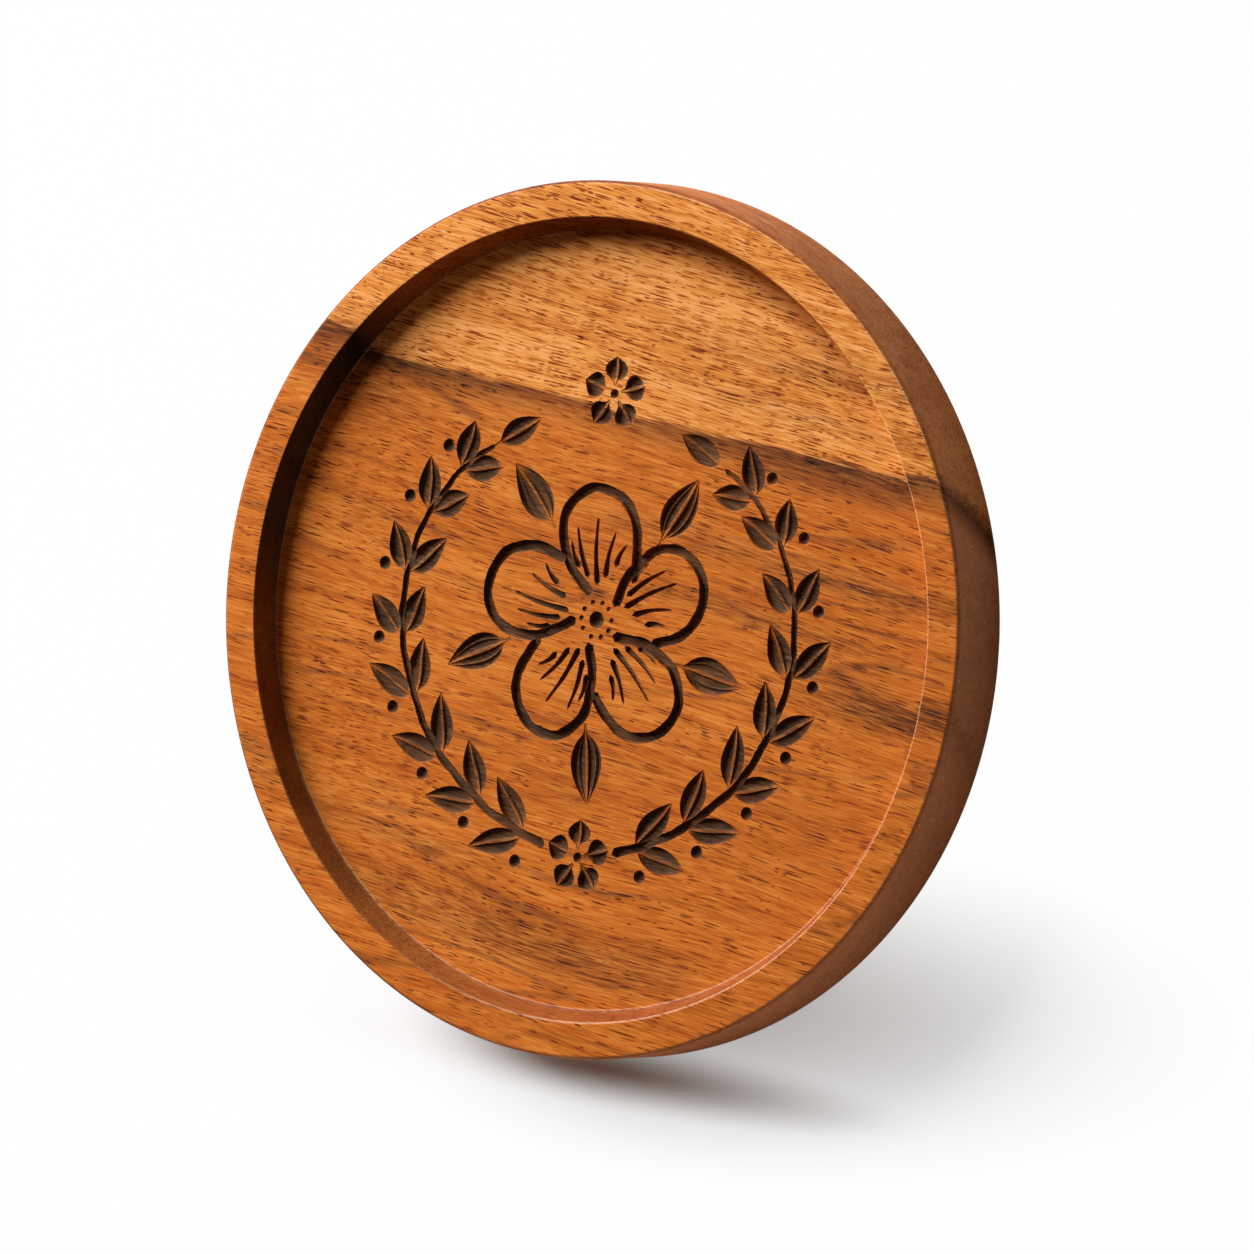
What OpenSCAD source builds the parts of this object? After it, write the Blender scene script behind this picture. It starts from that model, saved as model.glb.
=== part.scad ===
// Round wooden drink coaster: a turned hardwood dish that stands on four stick-on rubber feet.
// +Z points up out of the recess, +Y towards the top of the carved design, and the origin is
// on the table, under the centre.

/* [Body] */
// Outer diameter of the wooden body
body_d = 100; // [88:1:120]
// Thickness of the wood, from its underside to the top of the rim
body_h = 9.2; // [7.5:0.1:14]
// Rounding of the outer edge at the top of the rim
rim_edge_r = 0.5; // [0.2:0.1:1.2]
// Rounding of the outer edge at the underside
base_edge_r = 0.8; // [0.2:0.1:1.5]

/* [Recess] */
// Width of the flat top of the rim, from the outer edge to the recess
rim_w = 4.2; // [3:0.1:8]
// Depth of the recess that the glass stands in
recess_depth = 2.6; // [1.5:0.1:4]
// How far the recess wall leans inwards between the rim and the floor
wall_lean = 1.2; // [0.4:0.1:2]
// Rounding of the recess's upper edge
lip_r = 0.3; // [0.1:0.05:0.6]
// Radius that the cutter leaves where the wall meets the floor
floor_fillet_r = 0.6; // [0.2:0.1:1]

/* [Feet] */
// Diameter of a foot where it sticks to the wood
foot_d = 9; // [6:0.5:12]
// How far a foot's side leans in between the wood and its sole
foot_taper = 0.7; // [0:0.1:1.2]
// Height of a foot
foot_h = 1.5; // [0.8:0.1:3]
// Rounding between a foot's side and its sole
foot_edge_r = 0.4; // [0.1:0.1:0.6]
// Gap between a foot and the flat underside's edge
foot_inset = 6; // [2:0.5:12]

/* [Hidden] */
FOOT_COUNT = 4;
first_foot_angle = 45;
full_turn = 360;

$fn = 128;
overrun = 0.5;

outer_r = body_d / 2;
recess_r = outer_r - rim_w;
floor_r = recess_r - wall_lean;
foot_circle_r = outer_r - base_edge_r - foot_inset - foot_d / 2;

function unit(v) = v / norm(v);

// The sliver of a section between a sharp corner and the arc that rounds it. The two edges
// leave the corner along a and b. It is cut from an outside corner, and filled into an inside one.
module corner_sliver(corner, a, b, r) {
    half_angle = acos(unit(a) * unit(b)) / 2;
    reach = r / tan(half_angle);
    arc_centre = corner + unit(unit(a) + unit(b)) * r / sin(half_angle);
    difference() {
        polygon([corner, corner + unit(a) * reach, arc_centre, corner + unit(b) * reach]);
        translate(arc_centre) circle(r);
    }
}

// Half section of the recess, measured from the floor up, with its filleted corner
module recess_section() {
    up_the_wall = [wall_lean, recess_depth];
    over_the_rim = up_the_wall * overrun / recess_depth;
    difference() {
        polygon([
            [0, 0],
            [floor_r, 0],
            [recess_r, recess_depth] + over_the_rim,
            [0, recess_depth + overrun],
        ]);
        corner_sliver([floor_r, 0], [-1, 0], up_the_wall, floor_fillet_r);
    }
}

// Half section of the wooden body, measured from its underside
module body_section() {
    floor_z = body_h - recess_depth;
    down_the_wall = [-wall_lean, -recess_depth];
    difference() {
        square([outer_r, body_h]);
        translate([0, floor_z]) recess_section();
        corner_sliver([recess_r, body_h], [1, 0], down_the_wall, lip_r);
        corner_sliver([outer_r, body_h], [-1, 0], [0, -1], rim_edge_r);
        corner_sliver([outer_r, 0], [-1, 0], [0, 1], base_edge_r);
    }
}

module turned_body() {
    color("#b8672c") translate([0, 0, foot_h]) rotate_extrude() body_section();
}

// Half section of a foot: wide where it sticks, with a rounded edge round its sole
module foot_section() {
    foot_r = foot_d / 2;
    sole_r = foot_r - foot_taper;
    difference() {
        polygon([[0, 0], [sole_r, 0], [foot_r, foot_h], [0, foot_h]]);
        corner_sliver([sole_r, 0], [-1, 0], [foot_taper, foot_h], foot_edge_r);
    }
}

module rubber_foot(i) {
    angle = first_foot_angle + (i - 1) * full_turn / FOOT_COUNT;
    color("#2b2826") rotate(angle) translate([foot_circle_r, 0]) rotate_extrude() foot_section();
}

turned_body();
for (i = [1:FOOT_COUNT])
    rubber_foot(i);
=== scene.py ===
"""A round hardwood drink coaster with a carved wreath, dressed in oiled, open-pored wood.

The body is turned from a cylinder, and its recess floor is carved with gouge-shaped cutters.
Lengths are in millimetres until they are handed to Blender, which works in metres."""
import math
import random
from types import SimpleNamespace

import bpy
from mathutils import Matrix, Vector


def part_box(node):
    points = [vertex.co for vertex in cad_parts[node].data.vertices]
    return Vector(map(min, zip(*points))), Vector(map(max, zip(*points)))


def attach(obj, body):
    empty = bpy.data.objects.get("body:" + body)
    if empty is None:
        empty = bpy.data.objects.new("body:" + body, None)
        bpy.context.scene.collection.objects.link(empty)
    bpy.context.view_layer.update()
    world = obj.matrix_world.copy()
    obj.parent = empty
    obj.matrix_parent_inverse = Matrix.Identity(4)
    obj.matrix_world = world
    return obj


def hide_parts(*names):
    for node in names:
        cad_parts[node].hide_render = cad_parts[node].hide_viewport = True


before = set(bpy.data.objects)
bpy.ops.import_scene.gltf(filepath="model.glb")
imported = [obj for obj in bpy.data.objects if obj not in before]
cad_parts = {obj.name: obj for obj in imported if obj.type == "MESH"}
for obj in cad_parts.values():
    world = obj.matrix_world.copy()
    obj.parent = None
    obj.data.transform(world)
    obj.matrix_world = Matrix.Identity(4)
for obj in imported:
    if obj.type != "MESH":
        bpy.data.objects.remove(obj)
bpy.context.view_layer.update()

MM = 0.001

# Sizes that the frame gives
body_low, body_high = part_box("turned_body")
OUTER_R = body_high.x / MM
UNDER_Z = body_low.z / MM
RIM_Z = body_high.z / MM

# Sizes of the turned section
RIM_W = 4.2
RECESS_DEPTH = 2.6
WALL_LEAN = 1.2
RIM_EDGE_R = 0.5
BASE_EDGE_R = 0.8
LIP_R = 0.3
FLOOR_FILLET_R = 0.6
RECESS_R = OUTER_R - RIM_W
FLOOR_R = RECESS_R - WALL_LEAN
FLOOR_Z = RIM_Z - RECESS_DEPTH
TURNED_SIDES = 288
ROUNDING_STEPS = 6

# The carver's tools
GROOVE_W = 1.25
GROOVE_DEPTH = 0.52
FINE_W = 0.8
FINE_DEPTH = 0.42
STEM_W = 1.15
LEAF_HALF_W = 1.55
LEAF_DEPTH = 0.5
BROAD_LEAF_HALF_W = 2.1
CUT_STEP = 0.45
CUT_TOP_SHARE = 0.5
DIMPLE_DEPTH_SHARE = 0.6
# How near two points of a cutter have to be to be one
WELD = 0.002

# The carver's hand: how far it wavers off a line, and how it pushes the tool in and out, as shares
# of the groove's size, by a slow chatter and a shake from point to point
HAND = random.Random(7)
WAVER = 0.06
CHATTER_SHARE = 0.05
CHATTER_PACE = 0.9
SHAKE_SHARE = 0.035
THINNEST_SHARE = 0.12

# The wood: the fibres' direction in the face, in degrees from +X, and how they dive into it
GRAIN_TURN = -9.0
FIBRE_DIVE = 1.5
# Where the pale sapwood ends, across the growth layers, and how that edge drifts off the grain
SAPWOOD_EDGE = 25.2
EDGE_DRIFT = math.tan(math.radians(2.9))
# Streaks of dark growth, each by its place across the layers, its half width, the stretch of
# grain that it runs along, and its strength from 0 to 1
STREAKS = [
    (14.4, 1.5, -4, 60, 0.45),
    (14.4, 0.5, 14, 48, 0.9),
    (7.6, 0.9, 2, 36, 0.5),
    (7.0, 0.8, -46, -18, 0.35),
    (1.5, 2.2, 28, 60, 0.95),
    (-35.0, 3.0, -24, 22, 0.6),
    (-28.6, 1.4, -42, -8, 0.4),
    (30.5, 1.3, 6, 50, 0.3),
    (36.5, 1.8, 2, 50, 0.4),
    (20.5, 4.2, -70, -31, 0.6),
]

# The studio: strengths in Blender's units, directions in degrees from +X and above the face,
# the lamp's size and distance in metres
ROOM_LIGHT = 0.11
ROOM_COLOUR = "#FFDEC8"
LAMP_SIZE = 0.76
LAMP_POWER = 40.0
LAMP_TURN = 140.5
LAMP_RISE = 20.5
LAMP_DISTANCE = 1.2
# The ground lies a hair under the feet, so that their faces don't coincide
GROUND_SIZE = 6
GROUND_Z = -0.01
# It burns out to white, but for soft ellipses where the shadow stays. Each is given by its middle,
# its long axis' direction, its two half lengths, and how far its middle burns out.
GROUND_LIFT = 0.99
SHADES = [
    ((-0.8, -51.5), -2.4, (46.8, 5.05), 0.0),
    ((14.0, -43.1), 3.4, (84.0, 21.9), 0.4),
]

# Where the camera stands, fitted to the coaster's circles in the photograph
AIM_X = 5.87
AIM_Y = -0.23
VIEW_TURN = 5.554
VIEW_RISE = 56.877
VIEW_UP = 95.5
VIEW_DISTANCE = 1.2797
LENS = 324.05
SENSOR = 36


def deselect():
    """Leaves nothing selected, so that an operator acts only on what is picked next."""
    if bpy.context.object and bpy.context.object.mode != "OBJECT":
        bpy.ops.object.mode_set(mode="OBJECT")
    bpy.ops.object.select_all(action="DESELECT")


def pick(piece):
    """Makes one object the selected and active one."""
    deselect()
    piece.select_set(True)
    bpy.context.view_layer.objects.active = piece


def select_ring(piece, radius, height):
    """Selects the edges of one turned corner by their place, in edge mode."""
    bpy.ops.mesh.select_mode(type="EDGE")
    bpy.ops.mesh.select_all(action="DESELECT")
    bpy.ops.object.mode_set(mode="OBJECT")
    near = 0.05
    for edge in piece.data.edges:
        ends = [piece.data.vertices[i].co / MM for i in edge.vertices]
        edge.select = all(
            abs(end.xy.length - radius) < near and abs(end.z - height) < near for end in ends
        )
    bpy.ops.object.mode_set(mode="EDIT")


def round_corner(piece, radius, height, rounding, corner_angle):
    """Rounds a turned corner whose two flanks meet at corner_angle, with a tangent arc."""
    select_ring(piece, radius, height)
    reach = rounding / math.tan(corner_angle / 2)
    bpy.ops.mesh.bevel(
        offset=reach * MM, segments=ROUNDING_STEPS, profile=0.5, affect="EDGES", clamp_overlap=False
    )


def turn_body():
    """Turns the wooden dish: a disc, its recess sunk with a leaning wall, and its corners eased."""
    deselect()
    height = RIM_Z - UNDER_Z
    bpy.ops.mesh.primitive_cylinder_add(
        vertices=TURNED_SIDES,
        radius=OUTER_R * MM,
        depth=height * MM,
        location=(0, 0, (UNDER_Z + height / 2) * MM),
    )
    body = bpy.context.object
    body.name = "carved_body"
    bpy.ops.object.transform_apply(location=True, rotation=True, scale=True)
    bpy.ops.object.mode_set(mode="EDIT")
    bpy.ops.mesh.select_mode(type="FACE")
    bpy.ops.mesh.select_all(action="DESELECT")
    bpy.ops.object.mode_set(mode="OBJECT")
    upwards = 0.9
    for face in body.data.polygons:
        face.select = face.normal.z > upwards
    bpy.ops.object.mode_set(mode="EDIT")
    bpy.ops.mesh.inset(thickness=RIM_W * MM)
    bpy.ops.mesh.extrude_region_move(TRANSFORM_OT_translate={"value": (0, 0, -RECESS_DEPTH * MM)})
    bpy.ops.transform.resize(value=(FLOOR_R / RECESS_R, FLOOR_R / RECESS_R, 1))
    wall_angle = math.atan2(RECESS_DEPTH, WALL_LEAN)
    square = math.pi / 2
    round_corner(body, FLOOR_R, FLOOR_Z, FLOOR_FILLET_R, math.pi - wall_angle)
    round_corner(body, RECESS_R, RIM_Z, LIP_R, math.pi - wall_angle)
    round_corner(body, OUTER_R, RIM_Z, RIM_EDGE_R, square)
    round_corner(body, OUTER_R, UNDER_Z, BASE_EDGE_R, square)
    bpy.ops.mesh.select_all(action="SELECT")
    bpy.ops.mesh.normals_make_consistent(inside=False)
    bpy.ops.object.mode_set(mode="OBJECT")
    return body


# Half sections of the tools, as shares of the half width and of the depth, from the surface down.
# A gouge leaves a flat-bottomed groove with sloping walls.
GOUGE_SHARES = [(1.0, 0.0), (0.9, 0.32), (0.76, 0.86), (0.6, 1.0), (0.25, 0.95)]
# A leaf is cut in strokes that leave a rib standing along its middle, and a broad one has a
# fainter vein on each side of it.
LEAF_SHARES = [(1.0, 0.0), (0.93, 0.42), (0.82, 0.9), (0.64, 1.0), (0.26, 0.92), (0.09, 0.45)]
BROAD_LEAF_SHARES = [
    (1.0, 0.0), (0.94, 0.45), (0.85, 0.95), (0.7, 1.0),
    (0.56, 0.6), (0.44, 0.98), (0.2, 0.94), (0.07, 0.4),
]


def tool_section(name, half_shares, half_width, depth):
    """A closed section curve of a cutter, across X and up Y, open to the air above the surface."""
    left = [(-x * half_width, -y * depth) for x, y in half_shares]
    right = [(-x, y) for x, y in reversed(left)]
    air = CUT_TOP_SHARE * half_width
    outline = [(left[0][0], air), *left, *right, (right[-1][0], air)]
    curve = bpy.data.curves.new(name, "CURVE")
    curve.dimensions = "2D"
    spline = curve.splines.new("POLY")
    spline.points.add(len(outline) - 1)
    for point, (x, y) in zip(spline.points, outline):
        point.co = (x * MM, y * MM, 0, 1)
    spline.use_cyclic_u = True
    section = bpy.data.objects.new(name, curve)
    bpy.context.scene.collection.objects.link(section)
    return section


def smooth(points, closed=False):
    """A smooth path through the given points, with even steps, as Catmull-Rom spans."""
    if closed:
        ring = [points[-1], *points, points[0], points[1]]
    else:
        ring = [points[0] * 2 - points[1], *points, points[-1] * 2 - points[-2]]
    path = []
    for before, start, end, after in zip(ring, ring[1:], ring[2:], ring[3:]):
        steps = max(2, round((end - start).length / CUT_STEP))
        for i in range(steps):
            t = i / steps
            path.append(
                0.5
                * (
                    2 * start
                    + (end - before) * t
                    + (2 * before - 5 * start + 4 * end - after) * t**2
                    + (3 * start - before - 3 * end + after) * t**3
                )
            )
    if not closed:
        path.append(points[-1].copy())
    return path


def stray(most):
    """How far the hand is off this time, to either side."""
    return HAND.uniform(-most, most)


def wavering(path):
    """The same path as a hand would cut it, a little off to either side."""
    phase_x, phase_y = HAND.uniform(0, 6), HAND.uniform(0, 6)
    pace = HAND.uniform(1.1, 1.5)
    chip = WAVER / 2
    shaken = []
    for i, place in enumerate(path):
        along = pace * i * CUT_STEP
        sway = Vector((math.sin(along + phase_x), math.sin(along + phase_y))) * WAVER
        shaken.append(place + sway + Vector((stray(chip), stray(chip))))
    return shaken


def cut(body, section, path, sizes, closed=False):
    """Runs a tool along a path on the recess floor. sizes scales its section at each point."""
    curve = bpy.data.curves.new("cutter", "CURVE")
    curve.dimensions = "3D"
    curve.twist_mode = "Z_UP"
    curve.bevel_mode = "OBJECT"
    curve.bevel_object = section
    curve.use_fill_caps = True
    spline = curve.splines.new("POLY")
    spline.points.add(len(path) - 1)
    spline.use_cyclic_u = closed
    for point, place, size in zip(spline.points, path, sizes):
        point.co = (place.x * MM, place.y * MM, FLOOR_Z * MM, 1)
        point.radius = size
    cutter = bpy.data.objects.new("cutter", curve)
    bpy.context.scene.collection.objects.link(cutter)
    pick(cutter)
    bpy.ops.object.convert(target="MESH")
    subtract(body, cutter)


def subtract(body, cutter):
    """Takes a closed cutter away from the body, then removes the cutter."""
    pick(cutter)
    bpy.ops.object.mode_set(mode="EDIT")
    bpy.ops.mesh.select_all(action="SELECT")
    bpy.ops.mesh.remove_doubles(threshold=WELD * MM)
    bpy.ops.mesh.normals_make_consistent(inside=False)
    bpy.ops.object.mode_set(mode="OBJECT")
    pick(body)
    carve = body.modifiers.new("carve", "BOOLEAN")
    carve.operation = "DIFFERENCE"
    carve.solver = "MANIFOLD"
    carve.object = cutter
    bpy.ops.object.modifier_apply(modifier=carve.name)
    bpy.data.objects.remove(cutter)


def round_ended(path, width, tail=1.0, full=1.0):
    """Section sizes along a stroke with round ends. Below 1, tail thins the far end of it. full
    is the stroke's size where it is widest."""
    count = len(path) - 1
    run_out = width / 2
    sizes = []
    for i in range(count + 1):
        along = i * CUT_STEP
        left = (count - i) * CUT_STEP
        end_gap = min(along, left)
        share = 1.0
        if end_gap < run_out:
            share = math.sqrt(max(0.0, 1 - (1 - end_gap / run_out) ** 2))
        thinning = 1 - (1 - tail) * i / count
        chatter = 1 + CHATTER_SHARE * math.sin(CHATTER_PACE * i + count) + stray(SHAKE_SHARE)
        sizes.append(max(THINNEST_SHARE, full * share * thinning * chatter))
    return sizes


# A leaf's stalk, as a share of its length, how thin its stalk and its point are cut, how far its
# widest place lies towards the stalk, and how full its sides are, where 1 is a sine wave's
STALK_SHARE = 0.12
STALK_SIZE_SHARE = 0.1
POINT_SIZE_SHARE = 0.04
BELLY_PLACE = 0.8
BELLY_FULLNESS = 0.85


def leaf_sizes(path):
    """Section sizes along a leaf: a thin stalk, a full belly and a drawn-out point."""
    count = len(path) - 1
    sizes = []
    for i in range(count + 1):
        t = i / count
        blade = max(0.0, (t - STALK_SHARE) / (1 - STALK_SHARE))
        belly = 0.0
        if 0 < blade < 1:
            belly = math.sin(math.pi * blade**BELLY_PLACE) ** BELLY_FULLNESS
        sizes.append(max(STALK_SIZE_SHARE if t < 0.5 else POINT_SIZE_SHARE, belly))
    return sizes


def spot(radius, degrees):
    """A place on the floor, by its distance from the centre and its direction from +X."""
    angle = math.radians(degrees)
    return Vector((radius * math.cos(angle), radius * math.sin(angle)))


def turned(point, degrees):
    """A point turned about the centre."""
    angle = math.radians(degrees)
    return Vector((
        point.x * math.cos(angle) - point.y * math.sin(angle),
        point.x * math.sin(angle) + point.y * math.cos(angle),
    ))


def dimple(body, place, radius):
    """Sinks a shallow round dimple with the tip of a ball cutter."""
    deselect()
    depth = radius * DIMPLE_DEPTH_SHARE
    ball_r = (radius**2 + depth**2) / (2 * depth)
    bpy.ops.mesh.primitive_uv_sphere_add(
        segments=36, ring_count=24, radius=ball_r * MM,
        location=(place.x * MM, place.y * MM, (FLOOR_Z + ball_r - depth) * MM),
    )
    ball = bpy.context.object
    bpy.ops.object.transform_apply(location=True, rotation=True, scale=True)
    subtract(body, ball)


def carve_leaf(body, section, root, direction, length, bend):
    """One leaf, from its root along a direction, curved to one side by bend."""
    ahead = turned(Vector((1, 0)), direction)
    aside = turned(Vector((0, 1)), direction)
    points = [
        root + ahead * length * share + aside * bend * math.sin(math.pi / 2 * share) ** 2
        for share in (0.0, 0.33, 0.66, 1.0)
    ]
    path = smooth(points)
    cut(body, section, path, leaf_sizes(path))


# The blossom. One petal's outline is given in its own axes, X outwards: out along one side, round
# the tip, and back to where the next petal covers it.
PETAL_POINTS = [
    (2.7, 0.9), (5.8, 4.1), (9.8, 5.7), (13.4, 4.7),
    (15.2, 1.4), (14.0, -2.6), (10.7, -4.5), (6.5, -4.7),
]
# The petal's creases, each as a start and an end
CREASES = [
    ((3.9, 0.4), (11.6, 1.2)),
    ((4.6, 1.6), (10.4, 3.3)),
    ((4.8, -0.7), (10.2, -1.6)),
    ((5.6, 2.9), (8.6, 4.3)),
    ((6.2, -1.9), (9.0, -3.0)),
]
CREASE_BEND = 0.25
CREASE_TAIL_SHARE = 0.4
PETALS = 5
# The broad leaf behind a notch: where it starts, by its distance from the centre and its direction
# from the petal's, then its own direction from the petal's, its length and its bend
BROAD_LEAF_ROOT = (11.9, -39)
BROAD_LEAF_TURN = -27
BROAD_LEAF_LENGTH = 9.2
BROAD_LEAF_BEND = -0.5
STAMENS = 10
STAMEN_RING_R = 2.05
STAMEN_R = 0.34
EYE_R = 1.0
# How far the hand strays in cutting them, in degrees, and for a petal's size as a share of it
PETAL_STRAY = 1.5
PETAL_SIZE_STRAY = 0.02
CREASE_STRAY = 2
STAMEN_STRAY = 6


def carve_blossom(body, groove, fine, broad_leaf):
    """A five-petalled blossom in the middle, whose petals overlap like a pinwheel, with a leaf
    behind each notch."""
    for i in range(PETALS):
        direction = 90 + i * 360 / PETALS + stray(PETAL_STRAY)
        size = 1 + stray(PETAL_SIZE_STRAY)
        outline = [turned(Vector(p) * size, direction) for p in PETAL_POINTS]
        path = wavering(smooth(outline))
        cut(body, groove, path, round_ended(path, GROOVE_W))
        for start, end in CREASES:
            crease = [turned(Vector(p), direction + stray(CREASE_STRAY)) for p in (start, end)]
            middle = (crease[0] + crease[1]) / 2 + spot(CREASE_BEND, direction + 90)
            path = smooth([crease[0], middle, crease[1]])
            cut(body, fine, path, round_ended(path, FINE_W, tail=CREASE_TAIL_SHARE))
        distance, turn = BROAD_LEAF_ROOT
        root = spot(distance, direction + turn)
        heading = direction + BROAD_LEAF_TURN
        carve_leaf(body, broad_leaf, root, heading, BROAD_LEAF_LENGTH, BROAD_LEAF_BEND)
    for i in range(STAMENS):
        dimple(body, spot(STAMEN_RING_R, i * 360 / STAMENS + stray(STAMEN_STRAY)), STAMEN_R)
    dimple(body, Vector((0, 0)), EYE_R)


FLORET_PETAL_ROOT_R = 0.9
FLORET_PETAL_LENGTH = 3.4
FLORET_EYE_R = 0.6


def carve_floret(body, leaf, place):
    """A small flower of five short petals round a dimple."""
    for i in range(PETALS):
        direction = 90 + i * 360 / PETALS
        root = place + spot(FLORET_PETAL_ROOT_R, direction)
        carve_leaf(body, leaf, root, direction, FLORET_PETAL_LENGTH, 0.0)
    dimple(body, place, FLORET_EYE_R)


# The right sprig: its stem's points and its nodes, by distance from the centre and direction from
# +X, then its leaves, which get shorter towards the tip, and its berries
SPRIG_STEM = [
    (26.7, -80), (26.4, -70), (26.3, -56), (26.6, -34),
    (26.8, -8), (26.4, 16), (25.4, 36), (24.4, 50),
]
SPRIG_NODE_R = 26.5
SPRIG_NODES = range(-74, 44, 16)
STEM_TAIL_SHARE = 0.55
SPRIG_LEAF_LENGTH = 8.0
SPRIG_LEAF_SHRINK = 0.26
SPRIG_LEAF_SIZES = (0.94, 1.05)
SPRIG_LEAF_SPLAY = 40
SPRIG_LEAF_STRAY = 4
SPRIG_LEAF_BEND = 0.7
SPRIG_TIP_LEAF_LENGTH = 7.0
BERRY_R = 0.78
BERRY_OFF = 3.3
BERRY_TURN = 84


def carve_sprig(body, groove, leaf, side):
    """A leafy sprig with berries that curves up one side of the floor. side is 1 for right and
    -1 for left."""

    def place(radius, degrees):
        point = spot(radius, degrees)
        return Vector((point.x * side, point.y))

    stem = wavering(smooth([place(*p) for p in SPRIG_STEM]))
    sizes = round_ended(stem, STEM_W, tail=STEM_TAIL_SHARE, full=STEM_W / GROOVE_W)
    cut(body, groove, stem, sizes)
    steps_ahead = 3
    for i, degrees in enumerate(SPRIG_NODES):
        root = min(stem, key=lambda p: (p - place(SPRIG_NODE_R, degrees)).length)
        onward = stem[min(len(stem) - 1, stem.index(root) + steps_ahead)] - root
        heading = math.degrees(math.atan2(onward.y, onward.x))
        for hand in (1, -1):
            length = (SPRIG_LEAF_LENGTH - SPRIG_LEAF_SHRINK * i) * HAND.uniform(*SPRIG_LEAF_SIZES)
            splay = SPRIG_LEAF_SPLAY + stray(SPRIG_LEAF_STRAY)
            carve_leaf(body, leaf, root, heading + hand * splay, length, -hand * SPRIG_LEAF_BEND)
        dimple(body, root + spot(BERRY_OFF, heading - side * BERRY_TURN), BERRY_R)
    tip = stem[-1]
    onward = tip - stem[-5]
    heading = math.degrees(math.atan2(onward.y, onward.x))
    carve_leaf(body, leaf, tip, heading, SPRIG_TIP_LEAF_LENGTH, 0.0)


# How far the florets at the top and at the bottom are from the centre
FLORET_TOP = 25.8
FLORET_BOTTOM = 27.2


def carve(body):
    """Carves the wreath into the recess floor."""
    groove = tool_section("groove_section", GOUGE_SHARES, GROOVE_W / 2, GROOVE_DEPTH)
    fine = tool_section("fine_section", GOUGE_SHARES, FINE_W / 2, FINE_DEPTH)
    leaf = tool_section("leaf_section", LEAF_SHARES, LEAF_HALF_W, LEAF_DEPTH)
    broad_leaf = tool_section("broad_leaf_section", BROAD_LEAF_SHARES, BROAD_LEAF_HALF_W, LEAF_DEPTH)
    carve_blossom(body, groove, fine, broad_leaf)
    for side in (1, -1):
        carve_sprig(body, groove, leaf, side)
    for y in (FLORET_TOP, -FLORET_BOTTOM):
        carve_floret(body, leaf, Vector((0, y)))
    for section in (groove, fine, leaf, broad_leaf):
        bpy.data.objects.remove(section)


def finish_body(body):
    """Smooths the turned surfaces and keeps the flat ones flat."""
    smoothed_under = math.radians(32)
    pick(body)
    bpy.ops.object.shade_smooth_by_angle(angle=smoothed_under)
    weigh = body.modifiers.new("weigh", "WEIGHTED_NORMAL")
    weigh.keep_sharp = True
    weigh.weight = 60
    bpy.ops.object.modifier_apply(modifier=weigh.name)


def hexed(code):
    """A colour given as an sRGB hex value, in linear light with full alpha."""
    channels = [int(code[i : i + 2], 16) / 255 for i in (1, 3, 5)]
    linear = [c / 12.92 if c <= 0.04045 else ((c + 0.055) / 1.055) ** 2.4 for c in channels]
    return (*linear, 1)


WHITE = hexed("#FFFFFF")
# Settings of a node that mixes colours. Its inputs are 0, the share, 6, the colour underneath, and
# 7, the colour laid over it.
MIXED = {"out": 2, "data_type": "RGBA"}
STAINED = {**MIXED, "blend_type": "MULTIPLY"}


def put(tree, kind, wires=None, out=0, stops=(), **settings):
    """Adds one node with its settings and links, and on a colour ramp its stops, each a position
    and a hex colour. Returns one of its outputs, if it has any."""
    made = tree.nodes.new(kind)
    for name, value in settings.items():
        setattr(made, name, value)
    for socket, value in (wires or {}).items():
        if isinstance(value, bpy.types.NodeSocket):
            tree.links.new(value, made.inputs[socket])
        else:
            made.inputs[socket].default_value = value
    if stops:
        band = made.color_ramp.elements
        while len(band) < len(stops):
            band.new(0.5)
        for element, (position, code) in zip(band, stops):
            element.position = position
            element.color = hexed(code)
    return made.outputs[out] if made.outputs else made


def new_material(name):
    """An empty material and its node tree."""
    material = bpy.data.materials.new(name)
    material.use_nodes = True
    material.node_tree.nodes.clear()
    return material, material.node_tree


# How the fibres sway from straight: the length and width of each swell, and how far it sways
SWELLS = ((48, 22, 4.5), (11, 4, 0.5))
SWAY_IN_DEPTH_SHARE = 0.7


def fibre_space(tree):
    """Millimetres in the wood's own axes: X along the fibres, Y across them, Z up from the rim.
    The fibres wander a little from straight."""
    here = put(tree, "ShaderNodeTexCoord", out="Object")
    grain = put(tree, "ShaderNodeMapping", {
        "Vector": here,
        "Location": (0, 0, -RIM_Z),
        "Rotation": (0, math.radians(FIBRE_DIVE), math.radians(-GRAIN_TURN)),
        "Scale": (1 / MM, 1 / MM, 1 / MM),
    })
    fibre = grain
    for length, width, sway in SWELLS:
        slow = put(tree, "ShaderNodeVectorMath", {
            0: grain, 1: (1 / length, 1 / width, 1 / width),
        }, operation="MULTIPLY")
        wander = put(tree, "ShaderNodeTexNoise", {
            "Vector": slow, "Scale": 1, "Detail": 1,
        }, out="Color")
        wander = put(tree, "ShaderNodeVectorMath", {
            0: wander, 1: (0.5, 0.5, 0.5),
        }, operation="SUBTRACT")
        fibre = put(tree, "ShaderNodeVectorMath", {
            0: wander, 1: (0, sway, sway * SWAY_IN_DEPTH_SHARE), 2: fibre,
        }, operation="MULTIPLY_ADD")
    return fibre


def stretched(tree, fibre, length, width, seed):
    """Fibre space divided by a length along the fibres and a width across them."""
    return put(tree, "ShaderNodeVectorMath", {
        0: fibre, 1: (1 / length, 1 / width, 1 / width), 2: (seed, seed, seed),
    }, operation="MULTIPLY_ADD")


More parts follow.
